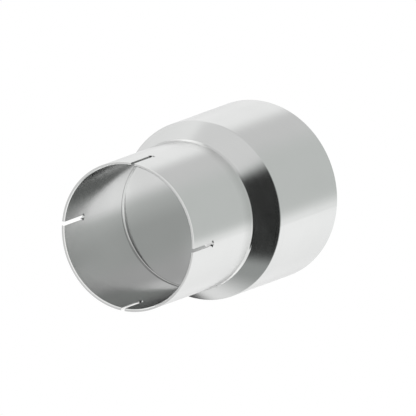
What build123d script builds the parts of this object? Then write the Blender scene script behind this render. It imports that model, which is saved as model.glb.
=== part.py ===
"""Exhaust pipe adapter: a slotted socket for one pipe, a cone, and a wider sleeve for the next.

Three pieces: a short tube with clamping slots, a reducer spun from one blank as cone and sleeve
together, and the weld bead that joins them. The adapter stands on the open end of its sleeve.
The origin is the middle of that rim, +Z runs up the axis to the slotted mouth, and +X goes
through the middle of one slot.
"""
from build123d import *
from math import asin, atan2, cos, hypot, tan
import os

# Pipes that the adapter joins, as outside diameters, and the room left all round each of them
narrow_pipe_diameter = 127.0
wide_pipe_diameter = 152.4
socket_clearance = 0.25
sleeve_clearance = 0.5

# Sheet
socket_wall = 2.5
reducer_wall = 2.5

# Lengths along the axis
socket_length = 102.0
cone_length = 25.5
sleeve_length = 97.5

# Ledge inside the joint, where the cone's end stands in past the bore of the socket
ledge_width = 1.0

# Clamping slots: open at the mouth, full round at the closed end
slot_count = 4
slot_width = 3.5
slot_length = 35.0

# Bend from cone to sleeve, and the broken edges of both open rims
crease_inner_radius = 1.5
rim_bevel = 0.3
mouth_inner_bevel = 0.6

# Weld bead: its lap up the outside of the socket, the flat left on the socket's bevelled end,
# how far out its toe on the cone is from the socket's outer face, and its crown height
weld_lap = 2.8
weld_root_land = 0.5
weld_toe_outset = 0.6
weld_crown = 0.4

# Radii and heights that follow
socket_inner_radius = narrow_pipe_diameter / 2 + socket_clearance
socket_outer_radius = socket_inner_radius + socket_wall
sleeve_inner_radius = wide_pipe_diameter / 2 + sleeve_clearance
sleeve_outer_radius = sleeve_inner_radius + reducer_wall
joint_height = sleeve_length + cone_length
mouth_height = joint_height + socket_length

# The cone's inner face starts at the ledge and its outer face ends at the sleeve, one sheet apart
cone_end_inner_radius = socket_inner_radius - ledge_width
cone_spread = sleeve_outer_radius - cone_end_inner_radius
cone_diagonal = hypot(cone_spread, cone_length)
cone_angle = atan2(cone_spread, cone_length) - asin(reducer_wall / cone_diagonal)
cone_end_outer_radius = cone_end_inner_radius + reducer_wall / cos(cone_angle)
inner_crease_height = sleeve_length - reducer_wall * tan(cone_angle / 2)

# Corners that the socket's bevelled end and the weld bead share
socket_toe = (socket_outer_radius, joint_height + weld_lap)
weld_root = (socket_inner_radius + weld_root_land, joint_height)

os.makedirs("parts", exist_ok=True)


# Cutter for one slot, centred on the mouth so that its upper half runs out of the tube
with BuildPart() as slot_cutter:
    with BuildSketch(Plane.YZ):
        with Locations((0, mouth_height)):
            SlotOverall(2 * slot_length, slot_width, rotation=90)
    extrude(amount=socket_outer_radius + slot_width)


# Slotted socket: a tube turned from its wall section, with broken edges at its mouth and a bevel
# for the weld round its lower outer edge, and slots spaced evenly round it
with BuildPart() as slotted_socket:
    with BuildSketch(Plane.XZ):
        with BuildLine():
            Polyline(
                (socket_inner_radius, joint_height),
                weld_root,
                socket_toe,
                (socket_outer_radius, mouth_height - rim_bevel),
                (socket_outer_radius - rim_bevel, mouth_height),
                (socket_inner_radius + mouth_inner_bevel, mouth_height),
                (socket_inner_radius, mouth_height - mouth_inner_bevel),
                close=True,
            )
        make_face()
    revolve(axis=Axis.Z)
    with PolarLocations(0, slot_count):
        add(slot_cutter.part, mode=Mode.SUBTRACT)
slotted_socket.part.label = "slotted_socket"
export_step(slotted_socket.part, "parts/slotted_socket.step")


# Reducer: the wall of cone and sleeve in one section, turned about the axis, with inner and outer
# bend radii that share a centre so that the sheet keeps its thickness round the crease
outer_crease = (sleeve_outer_radius, sleeve_length)
inner_crease = (sleeve_inner_radius, inner_crease_height)

with BuildPart() as reducer:
    with BuildSketch(Plane.XZ) as wall_section:
        with BuildLine():
            Polyline(
                (sleeve_inner_radius, 0),
                (sleeve_outer_radius, 0),
                outer_crease,
                (cone_end_outer_radius, joint_height),
                (cone_end_inner_radius, joint_height),
                inner_crease,
                close=True,
            )
        make_face()
        outer_corner = wall_section.vertices().sort_by_distance(outer_crease)[0]
        fillet(outer_corner, crease_inner_radius + reducer_wall)
        inner_corner = wall_section.vertices().sort_by_distance(inner_crease)[0]
        fillet(inner_corner, crease_inner_radius)
        chamfer(wall_section.vertices().group_by(Axis.Y)[0], rim_bevel)
    revolve(axis=Axis.Z)
reducer.part.label = "reducer"
export_step(reducer.part, "parts/reducer.step")


# Weld bead: fills the socket's bevel and the corner above the cone, with a low crown
cone_toe_radius = socket_outer_radius + weld_toe_outset
cone_toe_drop = (cone_toe_radius - cone_end_outer_radius) / tan(cone_angle)
cone_toe = (cone_toe_radius, joint_height - cone_toe_drop)

with BuildPart() as weld_bead:
    with BuildSketch(Plane.XZ):
        with BuildLine():
            Polyline(
                socket_toe,
                weld_root,
                (cone_end_outer_radius, joint_height),
                cone_toe,
            )
            SagittaArc(cone_toe, socket_toe, -weld_crown)
        make_face()
    revolve(axis=Axis.Z)
weld_bead.part.label = "weld_bead"
export_step(weld_bead.part, "parts/weld_bead.step")
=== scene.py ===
"""Finish of the exhaust pipe adapter: satin steel with polishing marks, in soft studio light."""
import bmesh
import bpy
from math import degrees, pi, radians, tan
from mathutils import Matrix, Vector

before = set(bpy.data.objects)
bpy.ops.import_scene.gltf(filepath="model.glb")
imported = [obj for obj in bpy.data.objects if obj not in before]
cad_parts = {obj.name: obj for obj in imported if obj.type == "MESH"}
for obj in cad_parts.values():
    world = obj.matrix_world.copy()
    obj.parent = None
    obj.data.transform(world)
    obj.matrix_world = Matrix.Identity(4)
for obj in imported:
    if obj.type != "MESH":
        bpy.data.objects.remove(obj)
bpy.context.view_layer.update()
scene = bpy.context.scene
scene.view_settings.view_transform = "Standard"
scene.view_settings.look = "None"

# Heights up the axis from the sleeve's rim, and radii, in metres
CREASE_HEIGHT = 0.0975
JOINT_HEIGHT = 0.123
WELD_TOP = 0.1258
SLOT_END_HEIGHT = 0.19
MOUTH_HEIGHT = 0.225
SLEEVE_BORE_RADIUS = 0.0767
SLOT_HALF_WIDTH = 0.00175

# Cone: tilt of its faces from the axis, how much its radius grows per metre down, and the radius
# of the middle of its sheet at the crease
CONE_ANGLE = radians(28.1)
CONE_SPREAD = 0.534
CONE_FOOT_RADIUS = 0.0778

# Height where the dressed bead turns from facing like the socket to facing like the cone
BEAD_TURN = 0.1242

# Depth of the polishing lines and height of the bead's ripples, in metres
LINE_RELIEF = 2e-6
RIPPLE_RELIEF = 4e-6

# Camera: parallel view down on the mouth, turned so that the adapter lies across the picture. Its
# bearing about the axis is counted from the slot on +X
VIEW_BEARING = radians(27.62)
VIEW_RIGHT = Vector((0.86196, 0.06534, -0.5026))
VIEW_UP = Vector((-0.17994, 0.96651, -0.1827))
VIEW_BACK = Vector((0.4738, 0.2479, 0.8450))
VIEW_DISTANCE = 1.2
PICTURE_WIDTH = 0.36033
PICTURE_PIXELS = 416
MOUTH_IN_PICTURE = (127.63, 237.04)

# Levels of studio light, where 1 is plain white. In front is towards the camera, and left and
# right are as seen from the adapter, looking to the front
WALL_LIGHT = (1.7, 1.7, 1.7, 1)
BACK_WALL_LIGHT = (1.28, 1.28, 1.28, 1)
WALL_TOP_LIGHT = (1.46, 1.46, 1.46, 1)
PANEL_LIGHT = (0.95, 0.98, 0.96, 1)
PANEL_LEFT_LIGHT = (1.08, 1.08, 1.08, 1)
PANEL_TOP_LIGHT = (1.17, 1.17, 1.17, 1)
DIM_LIGHT = (0.52, 0.54, 0.53, 1)
GAP_LIGHT = (0.012, 0.013, 0.012, 1)
LOW_GAP_LIGHT = (0.06, 0.06, 0.06, 1)
OVERHEAD_LIGHT = (1.4, 1.4, 1.4, 1)
OVERHEAD_BACK_LIGHT = (1.06, 1.06, 1.06, 1)
BRIGHT_BOX_LIGHT = (2.3, 2.3, 2.3, 1)
WHITE = (1, 1, 1, 1)

# Floor: its size, how far under the rim it lies, its shade within the sleeve, and how much light
# each quarter of it lets through there, where near is in front and far is behind
FLOOR_RADIUS = 0.6
FLOOR_DROP = 0.0002
FLOOR_SHADE = (0.62, 0.62, 0.62, 1)
FAR_LEFT_SHADE = (0.61, 0.61, 0.61, 1)
NEAR_LEFT_SHADE = (0.7, 0.7, 0.7, 1)
FAR_RIGHT_SHADE = (0.86, 0.86, 0.86, 1)
NEAR_RIGHT_SHADE = (0.74, 0.74, 0.74, 1)

# Colours of the steel, among them painted light and painted shade
GROOVE_STEEL = (0.485, 0.49, 0.486, 1)
RIDGE_STEEL = (0.52, 0.523, 0.52, 1)
HANDLED_STEEL = (0.475, 0.483, 0.477, 1)
RUBBED_AND_HIGHLIT_STEEL = (0.54, 0.54, 0.535, 1)
EDGE_TINT = (0.72, 0.72, 0.72, 1)
SHADE_PAINTED_FRONT_STEEL = (0.43, 0.435, 0.43, 1)
LIGHT_PAINTED_SIDE_STEEL = (0.72, 0.725, 0.72, 1)
CUT_FACE_PAINTED_LIGHT = (0.78, 0.78, 0.775, 1)
DIM_CUT_FACE_PAINTED_LIGHT = (0.6, 0.6, 0.595, 1)
PAINTED_HIGHLIGHT_STEEL = (0.97, 0.975, 0.97, 1)
BORE_PAINTED_LIGHT = (0.66, 0.665, 0.66, 1)
SHADE_PAINTED_FOR_REFLECTIONS = (0.26, 0.262, 0.26, 1)
LEDGE_EDGE_PAINTED_SHADE = (0.3, 0.3, 0.3, 1)
PAINTED_SHADE_STEEL = (0.4, 0.404, 0.4, 1)
DEEP_PAINTED_SHADE = (0.03, 0.031, 0.03, 1)
TOE_PAINTED_SHADE = (0.05, 0.05, 0.05, 1)
SLOT_END_PAINTED_SHADE = (0.01, 0.01, 0.01, 1)
BEAD_PAINTED_SHADE = (0.45, 0.455, 0.45, 1)
BEAD_PAINTED_LIGHT = (0.87, 0.875, 0.865, 1)
BEAD_GRAIN = (0.54, 0.538, 0.53, 1)


def place_camera():
    camera = bpy.data.objects.new("camera", bpy.data.cameras.new("camera"))
    scene.collection.objects.link(camera)
    camera.data.type = "ORTHO"
    camera.data.ortho_scale = PICTURE_WIDTH
    camera.data.clip_end = 10.0
    metres_per_pixel = PICTURE_WIDTH / PICTURE_PIXELS
    right_of_mouth = (PICTURE_PIXELS / 2 - MOUTH_IN_PICTURE[0]) * metres_per_pixel
    above_mouth = (MOUTH_IN_PICTURE[1] - PICTURE_PIXELS / 2) * metres_per_pixel
    aim = Vector((0, 0, MOUTH_HEIGHT)) + VIEW_RIGHT * right_of_mouth + VIEW_UP * above_mouth
    turn = Matrix((VIEW_RIGHT, VIEW_UP, VIEW_BACK)).transposed().to_4x4()
    camera.matrix_world = Matrix.Translation(aim + VIEW_BACK * VIEW_DISTANCE) @ turn
    scene.camera = camera


place_camera()


# Node helpers
def add(tree, kind, inputs=None, **options):
    """Adds a node with its options, and links or sets each named input."""
    node = tree.nodes.new(kind)
    for name, value in options.items():
        setattr(node, name, value)
    for name, value in (inputs or {}).items():
        join(tree, value, node.inputs[name])
    return node


def join(tree, value, socket):
    """Links a node's output to a socket, or sets the socket to a plain value."""
    if isinstance(value, bpy.types.NodeSocket):
        tree.links.new(value, socket)
    else:
        socket.default_value = value


def compute(tree, operation, first, second=0.0, third=0.0):
    inputs = {0: first, 1: second, 2: third}
    return add(tree, "ShaderNodeMath", inputs, operation=operation).outputs[0]


def size_of(tree, value):
    return compute(tree, "ABSOLUTE", value)


def difference(tree, first, second):
    return compute(tree, "SUBTRACT", first, second)


def scaled(tree, value, factor, offset=0.0):
    """value times factor, plus offset."""
    return compute(tree, "MULTIPLY_ADD", value, factor, offset)


def both(tree, *masks):
    """The product of masks, which is 1 only where every one of them is 1."""
    product = masks[0]
    for mask in masks[1:]:
        product = compute(tree, "MULTIPLY", product, mask)
    return product


def rise(tree, value, start, end):
    """0 at start and before it, 1 at end and past it, with a soft change between."""
    inputs = {"Value": value, "From Min": start, "From Max": end}
    node = add(tree, "ShaderNodeMapRange", inputs, interpolation_type="SMOOTHSTEP")
    return node.outputs["Result"]


def between(tree, value, start, end, soft):
    """1 from start to end and 0 outside, with edges that soft sets the width of."""
    up = rise(tree, value, start - soft, start + soft)
    down = rise(tree, value, end + soft, end - soft)
    return both(tree, up, down)


def blend(tree, mask, first, second):
    """The first colour where mask is 0 and the second where it is 1."""
    inputs = {"Factor": mask, 6: first, 7: second}
    return add(tree, "ShaderNodeMix", inputs, data_type="RGBA").outputs[2]


def painted(tree, colour, layers):
    """A colour with others laid over it in turn, each through its own mask."""
    for mask, layer_colour in layers:
        colour = blend(tree, mask, colour, layer_colour)
    return colour


def split(tree, vector):
    return add(tree, "ShaderNodeSeparateXYZ", {"Vector": vector}).outputs


def combine(tree, **parts):
    return add(tree, "ShaderNodeCombineXYZ", parts).outputs["Vector"]


def turned(tree, vector, angle):
    """A vector turned about the axis."""
    inputs = {"Vector": vector, "Angle": angle}
    return add(tree, "ShaderNodeVectorRotate", inputs, rotation_type="Z_AXIS").outputs["Vector"]


def length(tree, vector):
    return add(tree, "ShaderNodeVectorMath", {0: vector}, operation="LENGTH").outputs["Value"]


def normalized(tree, vector):
    node = add(tree, "ShaderNodeVectorMath", {0: vector}, operation="NORMALIZE")
    return node.outputs["Vector"]


def bearing_of(tree, vector):
    """Degrees round the axis from +X, counted towards +Y."""
    parts = split(tree, vector)
    return compute(tree, "DEGREES", compute(tree, "ARCTAN2", parts["Y"], parts["X"]))


def light_path(tree, ray):
    return add(tree, "ShaderNodeLightPath").outputs[ray]


def choose(tree, mask, first, second, output_kind):
    """Puts out the first shader where mask is 0 and the second where it is 1."""
    chosen = add(tree, "ShaderNodeMixShader", {0: mask})
    tree.links.new(first.outputs[0], chosen.inputs[1])
    tree.links.new(second.outputs[0], chosen.inputs[2])
    output = add(tree, output_kind)
    tree.links.new(chosen.outputs[0], output.inputs["Surface"])


def light_studio():
    """What the steel sees all round: bright walls, less bright behind, a grey panel low down in
    front, a dim stretch from the front round to the right with a dark gap along the horizon in
    it, one more gap low down behind, and a soft box overhead that is brightest to the right. Side
    is degrees to the right from the front, and height is degrees up from the horizon."""
    world = bpy.data.worlds.new("studio")
    scene.world = world
    world.use_nodes = True
    tree = world.node_tree
    tree.nodes.clear()
    all_round = add(tree, "ShaderNodeTexCoord").outputs["Generated"]
    direction = turned(tree, all_round, -VIEW_BEARING)
    side = scaled(tree, bearing_of(tree, direction), factor=-1.0)
    height = compute(tree, "DEGREES", compute(tree, "ARCSINE", split(tree, direction)["Z"]))

    behind = rise(tree, size_of(tree, side), start=138, end=162)
    panel = both(
        tree, rise(tree, side, start=-101, end=-79), rise(tree, side, start=58, end=34),
        rise(tree, height, start=12, end=-2),
    )
    panel_left = rise(tree, side, start=-25, end=-65)
    panel_light = blend(tree, panel_left, PANEL_LIGHT, PANEL_LEFT_LIGHT)
    panel_top = both(
        tree, between(tree, side, start=-100, end=-26, soft=8),
        between(tree, height, start=-20, end=14, soft=5),
    )
    wall_top = both(
        tree, rise(tree, size_of(tree, side), start=88, end=105),
        rise(tree, height, start=-45, end=-30),
    )
    dim = both(
        tree, rise(tree, side, start=-27, end=-11), rise(tree, side, start=135, end=95),
        rise(tree, height, start=-36, end=-28), rise(tree, height, start=16, end=8),
    )
    gap = both(
        tree, between(tree, side, start=-19, end=77, soft=8),
        between(tree, height, start=-16, end=10, soft=4),
    )
    low_gap = both(
        tree, between(tree, side, start=148, end=192, soft=10),
        between(tree, height, start=-51, end=-35, soft=2),
    )
    overhead = rise(tree, height, start=34, end=46)
    to_right = between(tree, side, start=28, end=112, soft=12)
    light = painted(tree, blend(tree, behind, WALL_LIGHT, BACK_WALL_LIGHT), [
        (panel, panel_light),
        (panel_top, PANEL_TOP_LIGHT),
        (wall_top, WALL_TOP_LIGHT),
        (dim, DIM_LIGHT),
        (gap, GAP_LIGHT),
        (low_gap, LOW_GAP_LIGHT),
        (overhead, OVERHEAD_LIGHT),
        (both(tree, overhead, behind), OVERHEAD_BACK_LIGHT),
        (both(tree, overhead, to_right), BRIGHT_BOX_LIGHT),
    ])

    seen_by_steel = add(tree, "ShaderNodeBackground", {"Color": light})
    plain_white = add(tree, "ShaderNodeBackground", {"Color": WHITE})
    seen_directly = light_path(tree, "Is Camera Ray")
    choose(tree, seen_directly, seen_by_steel, plain_white, "ShaderNodeOutputWorld")


def floor_material():
    """White, with a shade where the adapter covers it. The steel sees the studio light through
    it, and it is clear from below."""
    material = bpy.data.materials.new("white_floor")
    material.use_nodes = True
    tree = material.node_tree
    tree.nodes.clear()
    place = add(tree, "ShaderNodeTexCoord").outputs["Object"]
    edge = 0.002
    covered = rise(
        tree, length(tree, place), start=SLEEVE_BORE_RADIUS + edge, end=SLEEVE_BORE_RADIUS - edge,
    )
    parts = split(tree, turned(tree, place, -VIEW_BEARING))
    right = rise(tree, parts["Y"], start=-0.005, end=-0.038)
    near = rise(tree, parts["X"], start=0.0, end=0.06)
    left_shade = blend(tree, near, FAR_LEFT_SHADE, NEAR_LEFT_SHADE)
    right_shade = blend(tree, near, FAR_RIGHT_SHADE, NEAR_RIGHT_SHADE)
    let_through = blend(tree, covered, WHITE, blend(tree, right, left_shade, right_shade))
    clear = add(tree, "ShaderNodeBsdfTransparent", {"Color": let_through})
    seen = blend(tree, covered, WHITE, FLOOR_SHADE)
    white = add(tree, "ShaderNodeEmission", {"Color": seen, "Strength": 1.0})
    seen_directly = light_path(tree, "Is Camera Ray")
    from_below = add(tree, "ShaderNodeNewGeometry").outputs["Backfacing"]
    seen_from_above = compute(tree, "GREATER_THAN", seen_directly, from_below)
    choose(tree, seen_from_above, clear, white, "ShaderNodeOutputMaterial")
    return material


def lay_floor():
    mesh = bpy.data.meshes.new("floor")
    shape = bmesh.new()
    bmesh.ops.create_circle(shape, cap_ends=True, segments=96, radius=FLOOR_RADIUS)
    bmesh.ops.translate(shape, verts=shape.verts, vec=(0, 0, -FLOOR_DROP))
    shape.to_mesh(mesh)
    shape.free()
    mesh.materials.append(floor_material())
    floor = bpy.data.objects.new("floor", mesh)
    scene.collection.objects.link(floor)


light_studio()
lay_floor()


# Effects that the steels share, each a node group that puts out one value over the surface
def new_group(name, inputs, output):
    """A group that takes a place on the surface and the named numbers."""
    group = bpy.data.node_groups.new(name, "ShaderNodeTree")
    group.interface.new_socket("Vector", in_out="INPUT", socket_type="NodeSocketVector")
    for label, value in inputs.items():
        socket = group.interface.new_socket(label, in_out="INPUT", socket_type="NodeSocketFloat")
        socket.default_value = value
    group.interface.new_socket(output, in_out="OUTPUT", socket_type="NodeSocketFloat")
    return group, group.nodes.new("NodeGroupInput").outputs


def close_group(group, value):
    group.links.new(value, group.nodes.new("NodeGroupOutput").inputs[0])
    return group


def polishing_lines():
    """Fine lines round the axis, left by the polishing belt while the piece turned."""
    group, source = new_group("polishing_lines", {"Lines Per Metre": 1400.0}, "Lines")
    breaks_per_metre = 18.0
    stretch = combine(group, X=breaks_per_metre, Y=breaks_per_metre, Z=source["Lines Per Metre"])
    place = add(
        group, "ShaderNodeVectorMath", {0: source["Vector"], 1: stretch}, operation="MULTIPLY",
    )
    lines = add(
        group, "ShaderNodeTexNoise",
        {"Vector": place.outputs["Vector"], "Scale": 1.0, "Detail": 3.0, "Roughness": 0.6},
    )
    return close_group(group, lines.outputs[0])


def sheet_grain():
    """The rolled sheet's own grain, the same in all directions."""
    group, source = new_group("sheet_grain", {"Grains Per Metre": 1800.0}, "Grain")
    grain = add(
        group, "ShaderNodeTexNoise",
        {"Vector": source["Vector"], "Scale": source["Grains Per Metre"], "Detail": 2.0},
    )
    return close_group(group, grain.outputs[0])


def handling_marks():
    """Broad soft patches where the steel was wiped and handled."""
    group, source = new_group("handling_marks", {"Patches Per Metre": 22.0}, "Marks")
    patches = add(
        group, "ShaderNodeTexNoise",
        {"Vector": source["Vector"], "Scale": source["Patches Per Metre"], "Detail": 4.0,
         "Roughness": 0.55, "Distortion": 0.4},
    )
    return close_group(group, rise(group, patches.outputs[0], start=0.35, end=0.7))


def near_height():
    """1 at a height up the axis, falling softly to 0 at a distance above and below it."""
    group, source = new_group("near_height", {"Height": 0.0, "Reach": 0.001}, "Nearness")
    away = difference(group, split(group, source["Vector"])["Z"], source["Height"])
    return close_group(group, rise(group, size_of(group, away), start=source["Reach"], end=0.0))


LINES = polishing_lines()
GRAIN = sheet_grain()
MARKS = handling_marks()
NEAR = near_height()


def use(tree, group, **inputs):
    """Places a group in a material, with its inputs named in lower case."""
    node = add(tree, "ShaderNodeGroup", node_tree=group)
    for name, value in inputs.items():
        join(tree, value, node.inputs[name.replace("_", " ").title()])
    return node.outputs[0]


def new_material(name):
    material = bpy.data.materials.new(name)
    material.use_nodes = True
    tree = material.node_tree
    surface = tree.nodes["Principled BSDF"]
    surface.inputs["Metallic"].default_value = 1.0
    surface.inputs["Specular Tint"].default_value = EDGE_TINT
    place = add(tree, "ShaderNodeTexCoord").outputs["Object"]
    return material, tree, surface, place


# Places on the adapter
def height_of(tree, place):
    return split(tree, place)["Z"]


def radius_of(tree, place):
    """Distance from the axis."""
    parts = split(tree, place)
    return length(tree, combine(tree, X=parts["X"], Y=parts["Y"]))


def from_front(tree, place):
    """Degrees round the axis from the side that faces the camera, whichever way round."""
    return size_of(tree, difference(tree, bearing_of(tree, place), degrees(VIEW_BEARING)))


def inside_cone(tree, place, start, end):
    """1 on the inner face of the cone, from start to end above the crease."""
    up_cone = difference(tree, height_of(tree, place), CREASE_HEIGHT)
    middle_of_sheet = scaled(tree, up_cone, factor=-CONE_SPREAD, offset=CONE_FOOT_RADIUS)
    inwards = difference(tree, middle_of_sheet, radius_of(tree, place))
    inner_face = rise(tree, inwards, start=0.0, end=0.0004)
    return both(tree, inner_face, between(tree, up_cone, start, end, soft=0.0006))


def in_sleeve(tree, place, start, end):
    """1 on the sleeve's bore between two bearings, counted from the side away from the camera."""
    inside = rise(
        tree, radius_of(tree, place), start=SLEEVE_BORE_RADIUS + 0.001, end=SLEEVE_BORE_RADIUS,
    )
    bearing = bearing_of(tree, turned(tree, place, pi - VIEW_BEARING))
    return both(tree, inside, between(tree, bearing, start, end, soft=10))


def across_slot(tree, place):
    """Distance to one side from the middle of the nearest slot."""
    parts = split(tree, place)
    return compute(tree, "MINIMUM", size_of(tree, parts["X"]), size_of(tree, parts["Y"]))


def slot_walls(tree, place):
    """1 on the cut faces of the slots, above their closed ends."""
    off_middle = across_slot(tree, place)
    cut = rise(tree, off_middle, start=SLOT_HALF_WIDTH + 0.00011, end=SLOT_HALF_WIDTH + 0.00003)
    start_height = SLOT_END_HEIGHT + 2 * SLOT_HALF_WIDTH
    above_end = rise(
        tree, height_of(tree, place), start=start_height, end=start_height + 0.0005,
    )
    return both(tree, cut, above_end)


def slot_corners(tree, place):
    """1 at both sides of each slot's closed end, where a dark speck of shade is painted."""
    speck_height = SLOT_END_HEIGHT + 0.0022
    sideways = difference(tree, across_slot(tree, place), SLOT_HALF_WIDTH + 0.00005)
    upward = difference(tree, height_of(tree, place), speck_height)
    away = length(tree, combine(tree, X=sideways, Y=upward))
    return rise(tree, away, start=0.0014, end=0.0011)


def inner_bevel(tree, place):
    """1 on the bevel inside the mouth, round its front half, where a highlight is painted."""
    at_mouth = rise(
        tree, height_of(tree, place), start=MOUTH_HEIGHT - 0.0007, end=MOUTH_HEIGHT - 0.0006,
    )
    inside = rise(tree, radius_of(tree, place), start=0.0645, end=0.0644)
    front = rise(tree, from_front(tree, place), start=110, end=85)
    return both(tree, front, at_mouth, inside)


def toe_line(tree, place):
    """Painted shade along the bead's upper toe, which fades where the bead was dressed flush."""
    toe = use(tree, NEAR, vector=place, height=WELD_TOP, reach=0.0006)
    faded_bearing = 33.0
    from_faded = size_of(tree, difference(tree, bearing_of(tree, place), faded_bearing))
    line = both(tree, toe, rise(tree, from_faded, start=55, end=95))
    return scaled(tree, line, factor=0.95)


def beside_weld(tree, place):
    """Colour of the steel beside the weld: painted shade on the side towards the camera and painted
    light elsewhere.
    """
    sides = rise(tree, from_front(tree, place), start=45, end=75)
    return blend(tree, sides, SHADE_PAINTED_FRONT_STEEL, LIGHT_PAINTED_SIDE_STEEL)


def socket_marks(tree, place):
    near_weld = rise(
        tree, height_of(tree, place), start=JOINT_HEIGHT + 0.018, end=JOINT_HEIGHT + 0.003,
    )
    outside = rise(tree, radius_of(tree, place), start=0.065, end=0.0656)
    cut_faces = slot_walls(tree, place)
    along_y = split(tree, place)["Y"]
    in_slot_on_minus_y = rise(tree, along_y, start=-0.05, end=-0.06)
    in_slots_on_x = between(tree, along_y, start=-0.01, end=0.01, soft=0.005)
    return [
        # Painted shade beside the weld towards the camera, painted light round the sides
        (both(tree, near_weld, outside), beside_weld(tree, place)),
        # Painted shade along the bead's upper toe
        (toe_line(tree, place), TOE_PAINTED_SHADE),
        # Painted light on the slot walls, dimmer on the slot on -Y than on the slots on X
        (both(tree, cut_faces, in_slot_on_minus_y), DIM_CUT_FACE_PAINTED_LIGHT),
        (both(tree, cut_faces, in_slots_on_x), CUT_FACE_PAINTED_LIGHT),
        # Painted shade specks at the corners of the slot ends
        (slot_corners(tree, place), SLOT_END_PAINTED_SHADE),
        # Painted highlight on the inner bevel
        (inner_bevel(tree, place), PAINTED_HIGHLIGHT_STEEL),
    ]


def reducer_marks(tree, place):
    ledge = rise(
        tree, height_of(tree, place), start=JOINT_HEIGHT - 0.0003, end=JOINT_HEIGHT - 0.0001,
    )
    inner_edge = rise(tree, radius_of(tree, place), start=0.0632, end=0.063)
    mirrored = light_path(tree, "Is Glossy Ray")
    return [
        # Painted highlight inside the cone just above the crease
        (inside_cone(tree, place, start=0.0, end=0.0075), PAINTED_HIGHLIGHT_STEEL),
        # Painted shade inside the cone behind the ledge, darkest next to it
        (inside_cone(tree, place, start=0.0078, end=0.0178), PAINTED_SHADE_STEEL),
        (inside_cone(tree, place, start=0.0178, end=0.0248), DEEP_PAINTED_SHADE),
        # Painted highlight on the ledge, with painted shade along its inner edge
        (ledge, CUT_FACE_PAINTED_LIGHT),
        (both(tree, ledge, inner_edge), LEDGE_EDGE_PAINTED_SHADE),
        # Painted shade on one side of the sleeve's bore that only reflections see, and painted
        # light on the other side
        (both(tree, mirrored, in_sleeve(tree, place, start=5, end=60)), SHADE_PAINTED_FOR_REFLECTIONS),
        (in_sleeve(tree, place, start=-60, end=-10), BORE_PAINTED_LIGHT),
    ]


def steel(name, rim_height, marks_of_piece):
    """Satin sheet steel: polishing lines, grain, handling marks and a rim lightened by rubbing wear
    and a painted highlight, with the marks that belong to one piece given as (mask, colour) pairs."""
    material, tree, surface, place = new_material(name)
    lines = use(tree, LINES, vector=place, lines_per_metre=1400.0)
    grain = use(tree, GRAIN, vector=place)
    marks = use(tree, MARKS, vector=place)
    rim = use(tree, NEAR, vector=place, height=rim_height, reach=0.0008)

    colour = painted(tree, blend(tree, lines, GROOVE_STEEL, RIDGE_STEEL), [
        (scaled(tree, marks, factor=0.25), HANDLED_STEEL),
        # Rubbing wear and a painted highlight lighten the rim
        (scaled(tree, rim, factor=0.5), RUBBED_AND_HIGHLIT_STEEL),
        *marks_of_piece(tree, place),
    ])
    tree.links.new(colour, surface.inputs["Base Color"])

    satin = scaled(tree, lines, factor=0.06, offset=0.15)
    roughness = compute(tree, "ADD", satin, scaled(tree, marks, factor=0.035))
    tree.links.new(roughness, surface.inputs["Roughness"])

    relief = compute(tree, "ADD", lines, scaled(tree, grain, factor=0.4))
    inputs = {"Height": relief, "Strength": 1.0, "Distance": LINE_RELIEF}
    bump = add(tree, "ShaderNodeBump", inputs)
    tree.links.new(bump.outputs["Normal"], surface.inputs["Normal"])
    return material


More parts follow.
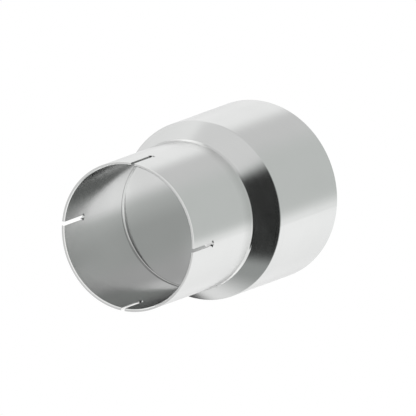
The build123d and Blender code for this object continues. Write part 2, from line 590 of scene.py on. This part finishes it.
def bead_facing(tree, place, flush, proud):
    """Which way the dressed bead faces: out like the socket and then up like the cone where it
    is flush, and a few degrees up where it still stands proud."""
    edge = 0.0002
    on_cone = rise(tree, height_of(tree, place), start=BEAD_TURN + edge, end=BEAD_TURN - edge)
    flush_slope = scaled(tree, both(tree, on_cone, flush), factor=tan(CONE_ANGLE))
    slope = compute(tree, "ADD", flush_slope, scaled(tree, proud, factor=0.09))
    parts = split(tree, place)
    outward = normalized(tree, combine(tree, X=parts["X"], Y=parts["Y"]))
    upward = combine(tree, Z=slope)
    tilted = add(tree, "ShaderNodeVectorMath", {0: outward, 1: upward}, operation="ADD")
    in_world = add(
        tree, "ShaderNodeVectorTransform",
        {"Vector": normalized(tree, tilted.outputs["Vector"])},
        vector_type="NORMAL", convert_from="OBJECT", convert_to="WORLD",
    )
    return in_world.outputs["Vector"]


def weld_metal():
    """The bead: faint crescent ripples left by the torch as it went round, dressed flush along
    one side of the joint."""
    material, tree, surface, place = new_material("weld_metal")
    bearing = bearing_of(tree, place)
    flush = between(tree, bearing, start=-15, end=78, soft=5)
    proud = difference(tree, 1.0, flush)
    phase_per_degree = 3.25
    phase_per_square_metre = 8e5
    off_joint = difference(tree, height_of(tree, place), JOINT_HEIGHT)
    squared = compute(tree, "MULTIPLY", off_joint, off_joint)
    curve = scaled(tree, squared, factor=phase_per_square_metre)
    wave = compute(tree, "SINE", scaled(tree, bearing, factor=phase_per_degree, offset=curve))
    ripples = compute(tree, "MULTIPLY", wave, proud)
    grain = use(tree, GRAIN, vector=place, grains_per_metre=1200.0)

    # Painted shade on the bead's side towards the camera, painted light round its sides
    sides = rise(tree, from_front(tree, place), start=48, end=80)
    colour = painted(tree, blend(tree, sides, BEAD_PAINTED_SHADE, BEAD_PAINTED_LIGHT), [
        (scaled(tree, grain, factor=0.2), BEAD_GRAIN),
        # Painted shade along the bead's upper toe
        (toe_line(tree, place), TOE_PAINTED_SHADE),
    ])
    tree.links.new(colour, surface.inputs["Base Color"])

    roughness = scaled(tree, grain, factor=0.06, offset=0.17)
    tree.links.new(roughness, surface.inputs["Roughness"])

    facing = bead_facing(tree, place, flush, proud)
    inputs = {"Height": ripples, "Strength": 1.0, "Distance": RIPPLE_RELIEF, "Normal": facing}
    bump = add(tree, "ShaderNodeBump", inputs)
    tree.links.new(bump.outputs["Normal"], surface.inputs["Normal"])
    return material


def finish_node(name, material):
    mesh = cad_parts[name].data
    mesh.materials.clear()
    mesh.materials.append(material)


finish_node("slotted_socket", steel("socket_steel", MOUTH_HEIGHT, socket_marks))
finish_node("reducer", steel("reducer_steel", 0.0, reducer_marks))
finish_node("weld_bead", weld_metal())
